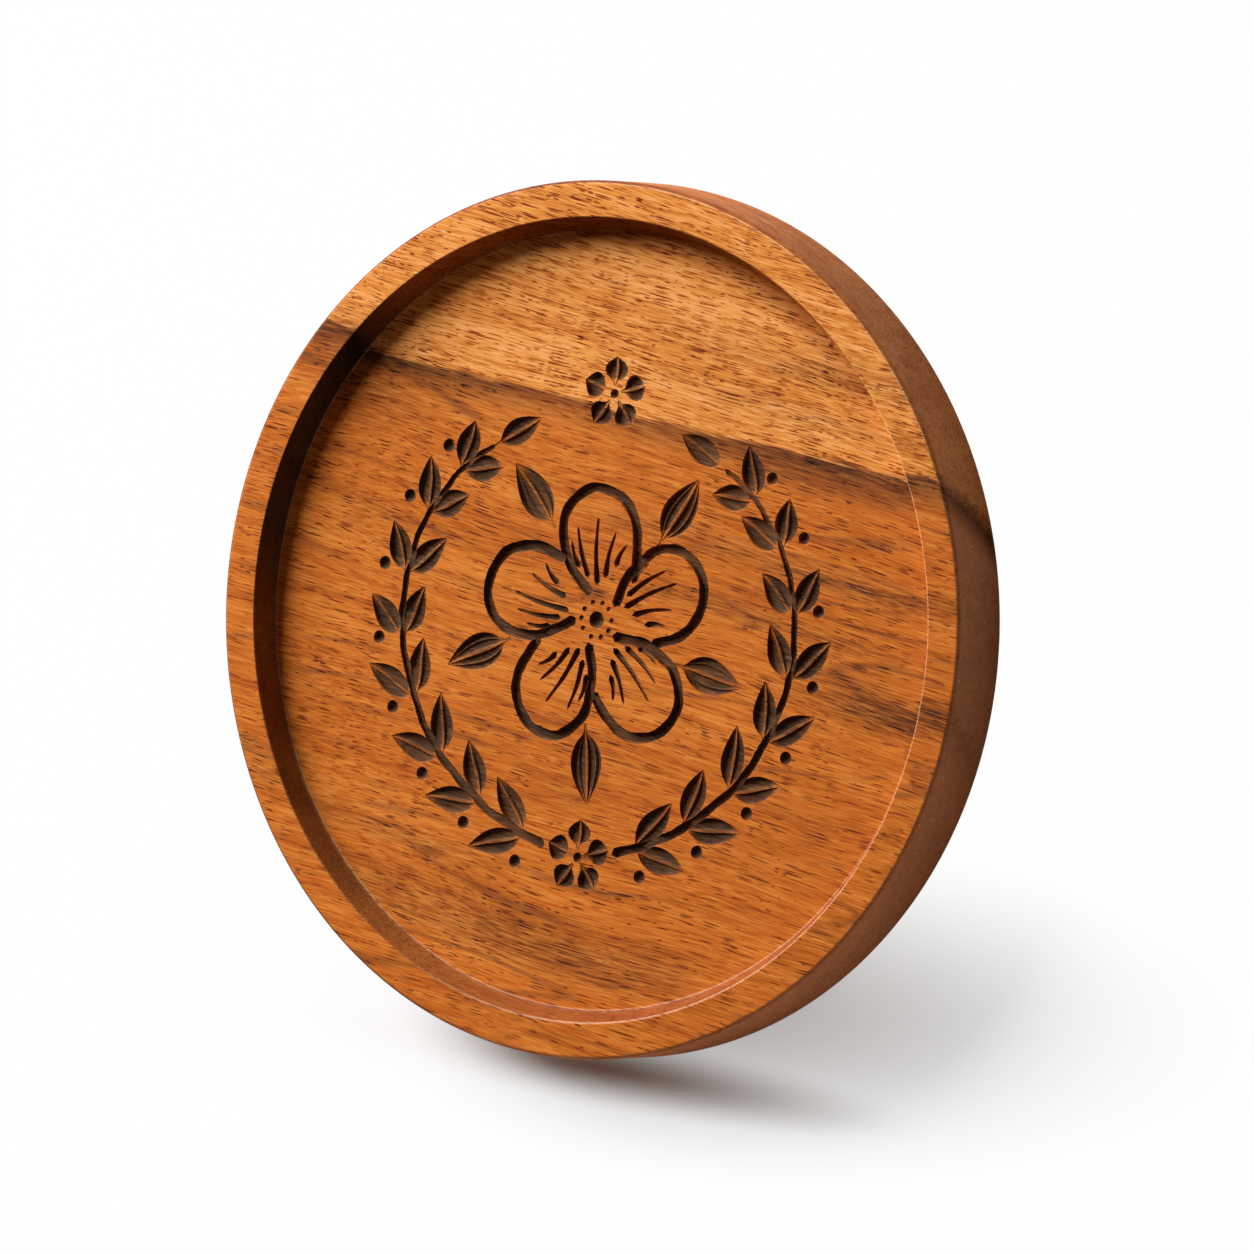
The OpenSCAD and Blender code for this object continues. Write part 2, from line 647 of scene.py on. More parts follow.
def drawn_out(tree, fibre, length, width, seed, detail=2, roughness=0.5):
    """A noise drawn out along the fibres, as everything that grew with them is."""
    return put(tree, "ShaderNodeTexNoise", {
        "Vector": stretched(tree, fibre, length, width, seed),
        "Scale": 1,
        "Detail": detail,
        "Roughness": roughness,
    })


def turned_place(tree):
    """Where a point lies on the turned body: how far it is from the axis, which way it lies from
    there, as a flat unit vector, and how high it is above the rim. Lengths are in millimetres."""
    here = put(tree, "ShaderNodeTexCoord", out="Object")
    here = put(tree, "ShaderNodeVectorMath", {
        0: here, 1: (1 / MM, 1 / MM, 1 / MM),
    }, operation="MULTIPLY")
    flat = put(tree, "ShaderNodeVectorMath", {0: here, 1: (1, 1, 0)}, operation="MULTIPLY")
    radius = put(tree, "ShaderNodeVectorMath", {0: flat}, out="Value", operation="LENGTH")
    outwards = put(tree, "ShaderNodeVectorMath", {0: flat}, operation="NORMALIZE")
    height = put(tree, "ShaderNodeSeparateXYZ", {0: here}, out="Z")
    height = put(tree, "ShaderNodeMath", {0: height, 1: RIM_Z}, operation="SUBTRACT")
    return radius, outwards, height


def steepness(tree):
    """1 on the turned walls and 0 on the flat faces, by the normal."""
    facing = put(tree, "ShaderNodeTexCoord", out="Normal")
    up = put(tree, "ShaderNodeSeparateXYZ", {0: facing}, out="Z")
    up = put(tree, "ShaderNodeMath", {0: up}, operation="ABSOLUTE")
    return put(tree, "ShaderNodeMapRange", {"Value": up, "From Min": 0.998, "From Max": 0.86})


def towards(tree, at, turn, first, last):
    """How far a point lies on one side of the turned body, given by its direction from +X: from 0
    where the cosine of the angle between them is first, to 1 where it is last."""
    side = put(tree, "ShaderNodeVectorMath", {
        0: at.outwards, 1: spot(1, turn).to_3d(),
    }, out="Value", operation="DOT_PRODUCT")
    return put(tree, "ShaderNodeMapRange", {"Value": side, "From Min": first, "From Max": last})


# The growth layers slant down through the board: how far they shift across it for each
# millimetre of depth, and how that grows with the depth and along the grain
LAYER_SLANT = 0.65
SLANT_BY_DEPTH = 0.03
SLANT_ALONG = -0.007


def wood_fields(tree):
    """What the wood's figure is drawn from, as node outputs: a point's place on the turned body and
    in the board, in millimetres, noises that follow the grain, and how far the point is sapwood."""
    at = SimpleNamespace()
    at.fibre = fibre_space(tree)
    at.along = put(tree, "ShaderNodeSeparateXYZ", {0: at.fibre}, out="X")
    across = at.along.node.outputs["Y"]
    up = at.along.node.outputs["Z"]
    at.radius, at.outwards, at.height = turned_place(tree)
    at.inside_rim = put(tree, "ShaderNodeMath", {
        0: at.radius, 1: RECESS_R + RIM_W / 2,
    }, operation="LESS_THAN")
    at.in_recess = put(tree, "ShaderNodeMath", {0: at.radius, 1: RECESS_R}, operation="LESS_THAN")
    at.steep = steepness(tree)

    depth = put(tree, "ShaderNodeMath", {0: up, 1: -1.0}, operation="MULTIPLY")
    slant = put(tree, "ShaderNodeMath", {
        0: at.along, 1: SLANT_ALONG, 2: LAYER_SLANT,
    }, operation="MULTIPLY_ADD")
    slant = put(tree, "ShaderNodeMath", {
        0: depth, 1: SLANT_BY_DEPTH, 2: slant,
    }, operation="MULTIPLY_ADD")
    at.layer = put(tree, "ShaderNodeMath", {0: depth, 1: slant, 2: across}, operation="MULTIPLY_ADD")

    # Single fibres, bundles of them, broad bands, and patches. A real fibre is too fine to show, so
    # one is drawn 0.2 mm wide.
    at.hair = drawn_out(tree, at.fibre, 4.5, 0.2, 0.0, detail=3, roughness=0.62)
    at.strand = drawn_out(tree, at.fibre, 24, 1.0, 3.1, detail=3, roughness=0.58)
    broad = drawn_out(tree, at.fibre, 80, 6.0, 7.7)
    at.patch = drawn_out(tree, at.fibre, 16, 5, 11.3)
    tone = put(tree, "ShaderNodeMath", {0: at.hair, 1: 1.1, 2: -0.55}, operation="MULTIPLY_ADD")
    tone = put(tree, "ShaderNodeMath", {0: at.strand, 1: 0.6, 2: tone}, operation="MULTIPLY_ADD")
    at.tone = put(tree, "ShaderNodeMath", {0: broad, 1: 0.4, 2: tone}, operation="MULTIPLY_ADD")

    # The sapwood's edge drifts off the grain's direction. On the faces it follows single fibres,
    # and on the sanded walls it is blurred.
    edge = put(tree, "ShaderNodeMath", {
        0: at.along, 1: -EDGE_DRIFT, 2: at.layer,
    }, operation="MULTIPLY_ADD")
    reach = 0.0
    for noise, share in ((at.hair, 0.9), (at.strand, 1.6)):
        edge = put(tree, "ShaderNodeMath", {0: noise, 1: share, 2: edge}, operation="MULTIPLY_ADD")
        reach += share
    at.above_edge = put(tree, "ShaderNodeMath", {
        0: edge, 1: SAPWOOD_EDGE + reach / 2,
    }, operation="SUBTRACT")
    sap_from = put(tree, "ShaderNodeMapRange", {"Value": at.steep, "To Min": -0.25, "To Max": -1.2})
    sap_to = put(tree, "ShaderNodeMapRange", {"Value": at.steep, "To Min": 0.35, "To Max": 1.2})
    at.sap_share = put(tree, "ShaderNodeMapRange", {
        "Value": at.above_edge, "From Min": sap_from, "From Max": sap_to,
    }, interpolation_type="SMOOTHSTEP")
    return at


def plain_timber(tree, at):
    """Pale sapwood and red-brown heartwood, before oil and wear. Growth lines run through the
    heartwood."""
    sapwood = put(tree, "ShaderNodeValToRGB", {"Fac": at.tone}, stops=[
        (0.24, "#AC5519"), (0.4, "#D07D31"), (0.54, "#E69443"), (0.7, "#F3AC64"),
    ])
    heartwood = put(tree, "ShaderNodeValToRGB", {"Fac": at.tone}, stops=[
        (0.15, "#94400F"), (0.4, "#BC621B"), (0.56, "#CF7427"), (0.76, "#E08C3C"),
    ])
    # The lines are the dark contours of a slow swell. They would be rings on the turned walls, so
    # they fade out there.
    swell = drawn_out(tree, at.fibre, 90, 12, 19.0, detail=1)
    line = put(tree, "ShaderNodeMath", {0: swell, 1: 0.06}, operation="PINGPONG")
    line = put(tree, "ShaderNodeMapRange", {
        "Value": line, "From Min": 0.0, "From Max": 0.014, "To Min": 0.6, "To Max": 0.0,
    }, interpolation_type="SMOOTHSTEP")
    in_patches = put(tree, "ShaderNodeMapRange", {
        "Value": at.patch, "From Min": 0.42, "From Max": 0.62,
    })
    on_faces = put(tree, "ShaderNodeMapRange", {"Value": at.steep, "To Min": 1.0, "To Max": 0.1})
    for share in (in_patches, on_faces):
        line = put(tree, "ShaderNodeMath", {0: line, 1: share}, operation="MULTIPLY")
    heartwood = put(tree, "ShaderNodeMix", {0: line, 6: heartwood, 7: hexed("#6E3A1E")}, **MIXED)
    return put(tree, "ShaderNodeMix", {0: at.sap_share, 6: heartwood, 7: sapwood}, **MIXED)


def smoke(tree, at, threads):
    """How dark the wood has grown under the sapwood's edge, from 0 to 1. The smoke is thinnest where
    the grain is 8 mm left of the middle, is drawn along single fibres, and spreads softly on the
    walls."""
    dark = put(tree, "ShaderNodeMapRange", {
        "Value": at.above_edge, "From Min": -4.8, "From Max": -0.1,
    }, interpolation_type="SMOOTHSTEP")
    off_middle = put(tree, "ShaderNodeMath", {0: at.along, 1: 8.0}, operation="ADD")
    off_middle = put(tree, "ShaderNodeMath", {0: off_middle}, operation="ABSOLUTE")
    thinness = put(tree, "ShaderNodeMapRange", {
        "Value": off_middle, "From Min": 4, "From Max": 30, "To Min": 3.0, "To Max": 0.8,
    })
    dark = put(tree, "ShaderNodeMath", {0: dark, 1: thinness}, operation="POWER")
    soft = put(tree, "ShaderNodeMapRange", {"Value": at.steep, "To Min": 0.3, "To Max": 1.4})
    firm = put(tree, "ShaderNodeMapRange", {"Value": at.steep, "To Min": -0.15, "To Max": -1.2})
    below_edge = put(tree, "ShaderNodeMapRange", {
        "Value": at.above_edge, "From Min": soft, "From Max": firm,
    })
    fuller = put(tree, "ShaderNodeMapRange", {
        "Value": off_middle, "From Max": 36, "To Min": 0.7, "To Max": 1.0,
    })
    for share in (below_edge, fuller):
        dark = put(tree, "ShaderNodeMath", {0: dark, 1: share}, operation="MULTIPLY")
    some = put(tree, "ShaderNodeMath", {0: threads, 1: 0.35, 2: 0.65}, operation="MULTIPLY_ADD")
    return put(tree, "ShaderNodeMath", {0: dark, 1: some}, operation="MULTIPLY", use_clamp=True)


def dark_growth(tree, at):
    """How dark the wood has grown, from 0 to 1: the smoke under the sapwood's edge and the streaks,
    both drawn along single fibres. The streaks hardly show on the outer wall."""
    threads = put(tree, "ShaderNodeMapRange", {
        "Value": at.hair, "From Min": 0.62, "From Max": 0.36, "To Min": 0.45, "To Max": 1.25,
    })
    dark = smoke(tree, at, threads)
    shown = put(tree, "ShaderNodeMath", {0: at.steep, 1: -0.75, 2: 1.0}, operation="MULTIPLY_ADD")
    shown = put(tree, "ShaderNodeMath", {0: shown, 1: at.inside_rim}, operation="MAXIMUM")
    fuzz = 2.6
    fuzzy = put(tree, "ShaderNodeMath", {0: at.strand, 1: fuzz, 2: at.layer}, operation="MULTIPLY_ADD")
    breakup = put(tree, "ShaderNodeMapRange", {
        "Value": at.patch, "From Min": 0.3, "From Max": 0.56, "To Min": 0.45,
    })
    for place, half_width, first, last, strength in STREAKS:
        off = put(tree, "ShaderNodeMath", {0: fuzzy, 1: place + fuzz / 2}, operation="SUBTRACT")
        off = put(tree, "ShaderNodeMath", {0: off}, operation="ABSOLUTE")
        near = put(tree, "ShaderNodeMapRange", {
            "Value": off,
            "From Min": 0.2,
            "From Max": half_width * 1.6,
            "To Min": strength,
            "To Max": 0.0,
        }, interpolation_type="SMOOTHSTEP")
        start = put(tree, "ShaderNodeMapRange", {
            "Value": at.along, "From Min": first - 10, "From Max": first + 12,
        }, interpolation_type="SMOOTHSTEP")
        stop = put(tree, "ShaderNodeMapRange", {
            "Value": at.along,
            "From Min": last - 10,
            "From Max": last + 10,
            "To Min": 1.0,
            "To Max": 0.0,
        }, interpolation_type="SMOOTHSTEP")
        for share in (start, stop, breakup, threads, shown):
            near = put(tree, "ShaderNodeMath", {0: near, 1: share}, operation="MULTIPLY")
        dark = put(tree, "ShaderNodeMath", {0: dark, 1: near}, operation="MAXIMUM")
    return dark


def smoked(tree, at, timber):
    """The timber with its dark growth, whose colour is darkened to near black inside the recess at its
    left end: painted shade laid over the real dark growth.
    """
    brown = put(tree, "ShaderNodeValToRGB", {"Fac": at.tone}, stops=[
        (0.2, "#331A0C"), (0.5, "#5C3016"), (0.8, "#8A5029"),
    ])
    # Painted shade: near black inside the recess at the left end
    shaded_left_end = put(tree, "ShaderNodeMapRange", {"Value": at.along, "From Min": -14, "From Max": -32})
    shaded_left_end = put(tree, "ShaderNodeMath", {0: shaded_left_end, 1: at.in_recess}, operation="MULTIPLY")
    brown = put(tree, "ShaderNodeMix", {0: shaded_left_end, 6: brown, 7: hexed("#1C110B")}, **MIXED)
    strongest = put(tree, "ShaderNodeMapRange", {
        "Value": at.steep, "To Min": 0.95, "To Max": 1.15,
    })
    dark = put(tree, "ShaderNodeMath", {
        0: dark_growth(tree, at), 1: strongest,
    }, operation="MULTIPLY", use_clamp=True)
    return put(tree, "ShaderNodeMix", {0: dark, 6: timber, 7: brown}, **MIXED)


def shaded_floor_foot(tree, at, timber):
    """The timber with painted shade on the recess floor, along the foot of its wall at the upper
    right.
    """
    foot_shade = put(tree, "ShaderNodeMapRange", {
        "Value": at.radius, "From Min": FLOOR_R - 3.4, "From Max": FLOOR_R - 0.3,
    }, interpolation_type="SMOOTHSTEP")
    for share in (at.in_recess, towards(tree, at, 75, 0.75, 0.97)):
        foot_shade = put(tree, "ShaderNodeMath", {0: foot_shade, 1: share}, operation="MULTIPLY")
    return put(tree, "ShaderNodeMix", {0: foot_shade, 6: timber, 7: hexed("#BCA48C")}, **STAINED)


def recess_wall(tree, at, timber):
    """The timber of the recess wall, with painted shade and light. It is painted darker than the face,
    most at the lower right, which faces the lamp, and not at the upper right, which lies in shade. A
    greyer, lighter tint is painted on its shaded left part, and painted shade near black on its upper
    left."""
    # Painted shade: darker all round, most at the lower right that faces the lamp, none at the shaded
    # upper right
    painted_wall_shade = put(tree, "ShaderNodeMix", {
        0: at.sap_share, 6: hexed("#BCC0C8"), 7: hexed("#C8B0A0"),
    }, **MIXED)
    painted_wall_shade = put(tree, "ShaderNodeMix", {
        0: towards(tree, at, -45, -0.2, 0.9), 6: painted_wall_shade, 7: hexed("#A89688"),
    }, **MIXED)
    painted_wall_shade = put(tree, "ShaderNodeMix", {
        0: towards(tree, at, 50, 0.6, 0.9), 6: painted_wall_shade, 7: WHITE,
    }, **MIXED)
    timber = put(tree, "ShaderNodeMix", {0: 1.0, 6: timber, 7: painted_wall_shade}, **STAINED)
    # A greyer, lighter tint painted on the shaded left part
    bloom_and_shade_tint = put(tree, "ShaderNodeMath", {
        0: towards(tree, at, 190, 0.1, 0.8), 1: 0.12,
    }, operation="MULTIPLY")
    timber = put(tree, "ShaderNodeMix", {0: bloom_and_shade_tint, 6: timber, 7: hexed("#B38C60")}, **MIXED)
    # Painted shade near black on the upper left, where the rim's shadow falls
    painted_upper_left_shade = put(tree, "ShaderNodeMath", {
        0: towards(tree, at, 156, 0.87, 0.96), 1: 0.8,
    }, operation="MULTIPLY")
    return put(tree, "ShaderNodeMix", {0: painted_upper_left_shade, 6: timber, 7: hexed("#403424")}, **MIXED)


# Painted light on the outer wall's lower right. It is lighter than the timber that it is multiplied
# with, so it has no hex value
PAINTED_LIGHT_LOWER_RIGHT = (1.4, 1.36, 1.4, 1)


def outer_wall(tree, at, timber):
    """The timber of the outer wall, sanded smooth. Towards its shaded right side it turns duller,
    partly the sanded wall and partly a painted reflection of the white room. Painted shade lies on all
    of it but the lower right, where light is painted on instead, and light dust sits in pores that are
    cut across."""
    # Duller towards the shaded right: sanded dullness and a painted reflection of the white room
    sheen_side = towards(tree, at, 0, 0.0, 0.6)
    dull_and_sheen = put(tree, "ShaderNodeMapRange", {"Value": sheen_side, "To Min": 0.15, "To Max": 0.45})
    dull_and_sheen_colour = put(tree, "ShaderNodeMix", {
        0: at.sap_share, 6: hexed("#C89878"), 7: hexed("#C88858"),
    }, **MIXED)
    timber = put(tree, "ShaderNodeMix", {0: dull_and_sheen, 6: timber, 7: dull_and_sheen_colour}, **MIXED)
    # Painted shade on the top and the lamp-lit left, painted light on the lower right
    painted_light_and_shade = put(tree, "ShaderNodeMix", {
        0: towards(tree, at, 195, -0.1, 0.8), 6: hexed("#E8E4E4"), 7: hexed("#BCA890"),
    }, **MIXED)
    painted_light_and_shade = put(tree, "ShaderNodeMix", {
        0: towards(tree, at, 95, 0.1, 0.8), 6: painted_light_and_shade, 7: hexed("#C9B489"),
    }, **MIXED)
    painted_light_and_shade = put(tree, "ShaderNodeMix", {
        0: towards(tree, at, -60, 0.5, 0.95), 6: painted_light_and_shade, 7: PAINTED_LIGHT_LOWER_RIGHT,
    }, **MIXED)
    timber = put(tree, "ShaderNodeMix", {0: 1.0, 6: timber, 7: painted_light_and_shade}, **STAINED)
    specks = put(tree, "ShaderNodeMath", {
        0: pores(tree, at.fibre, 0.45, 0.45, 61.0, 0.93), 1: towards(tree, at, -50, 0.2, 1.0),
    }, operation="MULTIPLY")
    return put(tree, "ShaderNodeMix", {0: specks, 6: timber, 7: hexed("#F0B888")}, **MIXED)


def pores(tree, fibre, length, width, seed, closed):
    """Slender cells cut open along the fibres, from 0 to 1. length and width are what a cell
    reaches at most, and closed is the share of cells that don't show. The rest are cut more or
    less deep."""
    cell = put(tree, "ShaderNodeTexVoronoi", {
        "Vector": stretched(tree, fibre, length, width, seed), "Scale": 1, "Exponent": 1.7,
    }, out="Distance", distance="MINKOWSKI")
    chance = put(tree, "ShaderNodeSeparateColor", {0: cell.node.outputs["Color"]}, out="Red")
    limit = put(tree, "ShaderNodeMapRange", {
        "Value": chance, "From Min": closed, "From Max": 1.0, "To Min": 0.26, "To Max": 0.5,
    })
    inside = put(tree, "ShaderNodeMath", {0: limit, 1: cell}, operation="SUBTRACT")
    open_cell = put(tree, "ShaderNodeMapRange", {"Value": inside, "From Min": 0.0, "From Max": 0.08})
    chosen = put(tree, "ShaderNodeMath", {0: chance, 1: closed}, operation="GREATER_THAN")
    depth = put(tree, "ShaderNodeMapRange", {
        "Value": chance.node.outputs["Green"], "To Min": 0.45, "To Max": 1.0,
    })
    for share in (chosen, depth):
        open_cell = put(tree, "ShaderNodeMath", {0: open_cell, 1: share}, operation="MULTIPLY")
    return open_cell


# The pores: distinct dashes, long faint ones, and short ticks between them. Each set has its cells'
# length and width, a seed, and the share of cells that don't show in the sapwood.
PORE_SETS = (
    (3.0, 0.17, 0.0, 0.56),
    (5.8, 0.18, 23.0, 0.74),
    (1.1, 0.2, 41.0, 0.8),
)
MORE_CLOSED_IN_HEARTWOOD = 0.15


def open_pores(tree, at):
    """The open pores of the board, from 0 to 1. They crowd in patches, and oil has filled some in
    the heartwood and sanding most on the walls."""
    pored = 0.0
    for length, width, seed, closed in PORE_SETS:
        closed = put(tree, "ShaderNodeMapRange", {
            "Value": at.sap_share, "To Min": closed + MORE_CLOSED_IN_HEARTWOOD, "To Max": closed,
        })
        more = pores(tree, at.fibre, length, width, seed, closed)
        pored = put(tree, "ShaderNodeMath", {0: pored, 1: more}, operation="MAXIMUM")
    crowding = put(tree, "ShaderNodeMapRange", {
        "Value": at.patch, "From Min": 0.35, "From Max": 0.6, "To Min": 0.5, "To Max": 1.0,
    })
    sanded = put(tree, "ShaderNodeMapRange", {"Value": at.steep, "To Min": 1.0, "To Max": 0.4})
    filled = put(tree, "ShaderNodeMapRange", {"Value": at.sap_share, "To Min": 0.88, "To Max": 1.0})
    for share in (crowding, sanded, filled):
        pored = put(tree, "ShaderNodeMath", {0: pored, 1: share}, operation="MULTIPLY")
    return pored


def shaded_pores(tree, at, timber, pored):
    """The timber with its pores darkened: oil deepens its own colour in them, and they lie in
    shade."""
    oily = put(tree, "ShaderNodeMapRange", {"Value": at.sap_share, "To Min": 0.65, "To Max": 1.2})
    oily = put(tree, "ShaderNodeMath", {0: pored, 1: oily, 2: 1.0}, operation="MULTIPLY_ADD")
    timber = put(tree, "ShaderNodeGamma", {"Color": timber, "Gamma": oily})
    sunk = put(tree, "ShaderNodeMix", {
        0: at.sap_share, 6: hexed("#5C6474"), 7: hexed("#9C948C"),
    }, **MIXED)
    return put(tree, "ShaderNodeMix", {0: pored, 6: timber, 7: sunk}, **STAINED)


def shaded_rim_edge(tree, at, timber):
    """The timber with painted shade on the rim's outer rounded edge, on the side that faces the lamp.
    """
    share = put(tree, "ShaderNodeMapRange", {
        "Value": at.radius, "From Min": OUTER_R - 0.42, "From Max": OUTER_R - 0.15,
    })
    high = put(tree, "ShaderNodeMapRange", {
        "Value": at.height, "From Min": -2 * RIM_EDGE_R, "From Max": -RIM_EDGE_R,
    })
    for part in (high, towards(tree, at, 160, -0.1, 0.4)):
        share = put(tree, "ShaderNodeMath", {0: share, 1: part}, operation="MULTIPLY")
    return put(tree, "ShaderNodeMix", {0: share, 6: timber, 7: hexed("#A89080")}, **STAINED)


# Pale lines on turned corners: painted highlights on the rim's two edges, and twice a pale line where
# the recess wall meets the floor. Each has its distance from the axis, the line's half width, the
# lowest height above the rim, how pale it gets, the direction from +X in which it is palest, and the
# cosine of how far it reaches to both sides of that.
EDGE_HIGHLIGHTS_AND_LINES = (
    (OUTER_R - 0.36, 0.1, -RIM_EDGE_R, 0.4, 62, 0.8),
    (RECESS_R + 0.02, 0.14, -LIP_R - 0.05, 0.3, -35, 0.1),
    (FLOOR_R - 0.2, 0.12, -RECESS_DEPTH - 0.05, 0.28, 175, 0.1),
    (FLOOR_R - 0.2, 0.1, -RECESS_DEPTH - 0.05, 0.22, -85, 0.5),
)


def highlights_and_pale_lines(tree, at):
    """How pale the lines on the turned corners are, from 0 to 1: painted highlights on the rim's edges
    and a pale line at the foot of the recess wall. Cut fibres nick the lines.
    """
    broken = put(tree, "ShaderNodeMapRange", {"Value": at.hair, "From Min": 0.34, "From Max": 0.46})
    paleness = 0.0
    for place, half_width, lowest, strength, turn, reach in EDGE_HIGHLIGHTS_AND_LINES:
        off = put(tree, "ShaderNodeMath", {0: at.radius, 1: place}, operation="SUBTRACT")
        off = put(tree, "ShaderNodeMath", {0: off}, operation="ABSOLUTE")
        near = put(tree, "ShaderNodeMapRange", {
            "Value": off,
            "From Min": half_width * 0.4,
            "From Max": half_width,
            "To Min": strength,
            "To Max": 0.0,
        })
        high = put(tree, "ShaderNodeMath", {0: at.height, 1: lowest}, operation="GREATER_THAN")
        for share in (high, towards(tree, at, turn, reach, reach * 0.5 + 0.5)):
            near = put(tree, "ShaderNodeMath", {0: near, 1: share}, operation="MULTIPLY")
        paleness = put(tree, "ShaderNodeMath", {0: paleness, 1: near}, operation="MAXIMUM")
    return put(tree, "ShaderNodeMath", {0: paleness, 1: broken}, operation="MULTIPLY")


def singed(tree, at, timber):
    """The timber as a hot cutter leaves it: charred brown, the more so the deeper the cut."""
    singe = put(tree, "ShaderNodeMapRange", {
        "Value": at.height,
        "From Min": -RECESS_DEPTH - 0.05,
        "From Max": -RECESS_DEPTH - 0.3,
        "To Min": 0.1,
        "To Max": 0.95,
    })
    flicker = put(tree, "ShaderNodeMath", {0: at.patch, 1: 0.3, 2: -0.15}, operation="MULTIPLY_ADD")
    singe = put(tree, "ShaderNodeMath", {0: singe, 1: flicker}, operation="ADD", use_clamp=True)
    char = put(tree, "ShaderNodeValToRGB", {"Fac": at.hair}, stops=[
        (0.3, "#2E1E13"), (0.5, "#4A3220"), (0.7, "#6B4A30"),
    ])
    return put(tree, "ShaderNodeMix", {0: singe, 6: timber, 7: char}, **MIXED)


def wood(name, scorched):
    """Oiled open-pored hardwood, turned and sanded. Its solid figure runs through the board, so the
    rim, the recess and the outer wall cut through the same layers: pale sapwood above a slanting,
    smoke-edged boundary, red-brown heartwood below, and dark dashes where pores are cut along.
    The oil soaks in and leaves it nearly matt. scorched gives the brown bed that a hot cutter
    leaves."""
    material, tree = new_material(name)
    at = wood_fields(tree)
    # Painted shade on the recess floor along the upper right foot of its wall
    timber = shaded_floor_foot(tree, at, plain_timber(tree, at))
    walls = put(tree, "ShaderNodeMix", {
        0: at.inside_rim, 6: outer_wall(tree, at, timber), 7: recess_wall(tree, at, timber),
    }, **MIXED)
    timber = put(tree, "ShaderNodeMix", {0: at.steep, 6: timber, 7: walls}, **MIXED)
    timber = smoked(tree, at, timber)
    pored = open_pores(tree, at)
    timber = shaded_pores(tree, at, timber, pored)
    # Painted shade on the rim's outer edge where the lamp lights it
    timber = shaded_rim_edge(tree, at, timber)
    if scorched:
        timber = singed(tree, at, timber)
        roughness = 0.75
    else:
        # Painted highlights on the rim's edges and a pale line at the foot of the recess wall
        timber = put(tree, "ShaderNodeMix", {
            0: highlights_and_pale_lines(tree, at), 6: timber, 7: hexed("#ECC29C"),
        }, **MIXED)
        roughness = put(tree, "ShaderNodeMapRange", {
            "Value": at.strand, "From Min": 0.3, "From Max": 0.7, "To Min": 0.62, "To Max": 0.5,
        })

    # Pores and lifted fibres, as a height
    relief = put(tree, "ShaderNodeMath", {0: pored, 1: -1.0}, operation="MULTIPLY")
    relief = put(tree, "ShaderNodeMath", {0: at.hair, 1: 0.5, 2: relief}, operation="MULTIPLY_ADD")
    bumped = put(tree, "ShaderNodeBump", {"Height": relief, "Distance": 0.09 * MM, "Strength": 0.8})

    shader = put(tree, "ShaderNodeBsdfPrincipled", {
        "Base Color": timber,
        "Roughness": roughness,
        "IOR": 1.46,
        "Specular IOR Level": 0.1,
        "Normal": bumped,
    })
    put(tree, "ShaderNodeOutputMaterial", {"Surface": shader})
    return material


def rubber():
    """Moulded rubber: near black and dull, with a faint bloom. The grain of the mould is drawn
    0.25 mm wide, because the real one is too fine to show."""
    material, tree = new_material("moulded_rubber")
    here = put(tree, "ShaderNodeTexCoord", out="Object")
    grit = put(tree, "ShaderNodeTexNoise", {"Vector": here, "Scale": 1 / (0.25 * MM), "Detail": 3})
    bloom_and_shade_tint = put(tree, "ShaderNodeTexNoise", {"Vector": here, "Scale": 1 / (3 * MM), "Detail": 2})
    colour = put(tree, "ShaderNodeValToRGB", {"Fac": bloom_and_shade_tint}, stops=[
        (0.35, "#211E1C"), (0.65, "#34302D"),
    ])
    roughness = put(tree, "ShaderNodeMapRange", {
        "Value": grit, "From Min": 0.3, "From Max": 0.7, "To Min": 0.62, "To Max": 0.82,
    })
    bumped = put(tree, "ShaderNodeBump", {"Height": grit, "Distance": 0.03 * MM, "Strength": 0.6})
    shader = put(tree, "ShaderNodeBsdfPrincipled", {
        "Base Color": colour, "Roughness": roughness, "IOR": 1.52, "Normal": bumped,
    })
    put(tree, "ShaderNodeOutputMaterial", {"Surface": shader})
    return material


def give_cuts_their_material(body, polished, scorched):
    """The faces inside the carving, found by their depth below the recess floor, are scorched."""
    body.data.materials.clear()
    body.data.materials.append(polished)
    body.data.materials.append(scorched)
    slack = 0.004
    clear_of_base = UNDER_Z + 1
    for face in body.data.polygons:
        middle = face.center / MM
        inside = middle.xy.length < FLOOR_R - FLOOR_FILLET_R
        under = clear_of_base < middle.z < FLOOR_Z - slack
        face.material_index = 1 if inside and under else 0


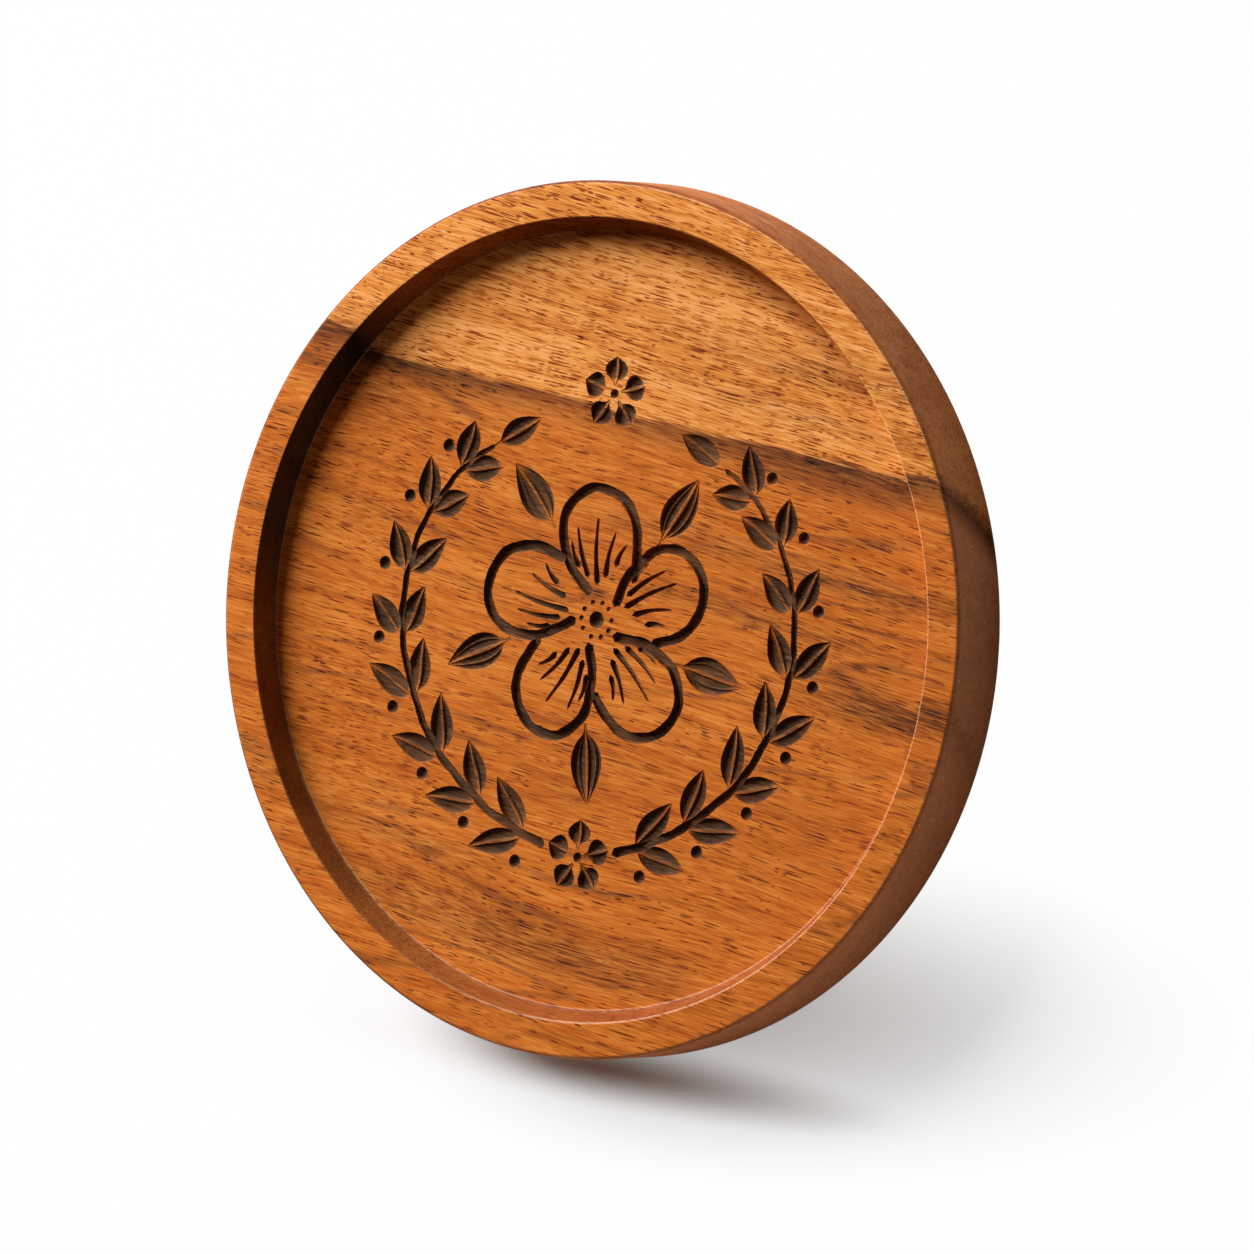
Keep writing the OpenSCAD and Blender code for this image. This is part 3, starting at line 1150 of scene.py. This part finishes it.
def light_studio():
    """Soft light on white ground: one large lamp low at the upper left and a dim warm room, which
    the camera sees as white."""
    deselect()
    bpy.ops.mesh.primitive_plane_add(size=GROUND_SIZE, location=(0, 0, GROUND_Z * MM))
    floor = bpy.context.object
    floor.name = "floor"
    material, tree = new_material("white_sweep")
    matte = put(tree, "ShaderNodeBsdfDiffuse", {"Color": hexed("#F6F6F6")})
    glow = put(tree, "ShaderNodeEmission", {"Color": WHITE, "Strength": 1.0})
    here = put(tree, "ShaderNodeTexCoord", out="Object")
    lift = GROUND_LIFT
    for (x, y), turn, (along, across), middle in SHADES:
        off = put(tree, "ShaderNodeMapping", {
            "Vector": here,
            "Location": (x * MM, y * MM, 0),
            "Rotation": (0, 0, math.radians(turn)),
            "Scale": (along * MM, across * MM, 1),
        }, vector_type="TEXTURE")
        off = put(tree, "ShaderNodeVectorMath", {0: off}, out="Value", operation="LENGTH")
        share = put(tree, "ShaderNodeMapRange", {
            "Value": off, "To Min": middle,
        }, interpolation_type="SMOOTHSTEP")
        lift = put(tree, "ShaderNodeMath", {0: lift, 1: share}, operation="MULTIPLY")
    seen = put(tree, "ShaderNodeLightPath", out="Is Camera Ray")
    lift = put(tree, "ShaderNodeMath", {0: seen, 1: lift}, operation="MULTIPLY")
    mixed = put(tree, "ShaderNodeMixShader", {0: lift, 1: matte, 2: glow})
    put(tree, "ShaderNodeOutputMaterial", {"Surface": mixed})
    floor.data.materials.append(material)

    world = bpy.data.worlds.new("room")
    bpy.context.scene.world = world
    world.use_nodes = True
    tree = world.node_tree
    tree.nodes.clear()
    seen = put(tree, "ShaderNodeLightPath", out="Is Camera Ray")
    strength = put(tree, "ShaderNodeMapRange", {"Value": seen, "To Min": ROOM_LIGHT, "To Max": 1.0})
    colour = put(tree, "ShaderNodeMix", {0: seen, 6: hexed(ROOM_COLOUR), 7: WHITE}, **MIXED)
    room = put(tree, "ShaderNodeBackground", {"Color": colour, "Strength": strength})
    put(tree, "ShaderNodeOutputWorld", {"Surface": room})

    lamp = bpy.data.lights.new("softbox", "AREA")
    lamp.shape = "DISK"
    lamp.size = LAMP_SIZE
    lamp.energy = LAMP_POWER
    softbox = bpy.data.objects.new("softbox", lamp)
    bpy.context.scene.collection.objects.link(softbox)
    aim_from(softbox, Vector((0, 0, RIM_Z * MM)), LAMP_TURN, LAMP_RISE, LAMP_DISTANCE, LAMP_TURN)


def aim_from(thing, target, turn, rise, distance, up_turn):
    """Puts a lamp or camera at a direction and distance from a target, looking at it, with its top
    towards up_turn. turn and up_turn are in degrees from +X, rise is above the face."""
    level = math.radians(rise)
    side = spot(1, turn)
    back = Vector((side.x * math.cos(level), side.y * math.cos(level), math.sin(level)))
    up = spot(1, up_turn).to_3d()
    right = up.cross(back).normalized() if up_turn != turn else Vector((-side.y, side.x, 0))
    up = back.cross(right)
    turning = Matrix((right, up, back)).transposed()
    thing.matrix_world = Matrix.Translation(target + back * distance) @ turning.to_4x4()


def set_camera():
    """The photograph's long lens, 33 degrees off the face, level with it and turned with it."""
    lens = bpy.data.cameras.new("camera")
    lens.sensor_width = SENSOR
    lens.lens = LENS
    lens.clip_start = 0.1
    lens.clip_end = 20
    camera = bpy.data.objects.new("camera", lens)
    bpy.context.scene.collection.objects.link(camera)
    target = Vector((AIM_X, AIM_Y, RIM_Z)) * MM
    aim_from(camera, target, VIEW_TURN, VIEW_RISE, VIEW_DISTANCE, VIEW_UP)
    bpy.context.scene.camera = camera


body = turn_body()
carve(body)
finish_body(body)
give_cuts_their_material(body, wood("oiled_hardwood", False), wood("scorched_hardwood", True))
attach(body, "root")
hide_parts("turned_body")

foot_rubber = rubber()
for name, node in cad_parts.items():
    if name.startswith("rubber_foot"):
        node.data.materials.clear()
        node.data.materials.append(foot_rubber)

light_studio()
set_camera()

scene_view = bpy.context.scene.view_settings
scene_view.view_transform = "Standard"
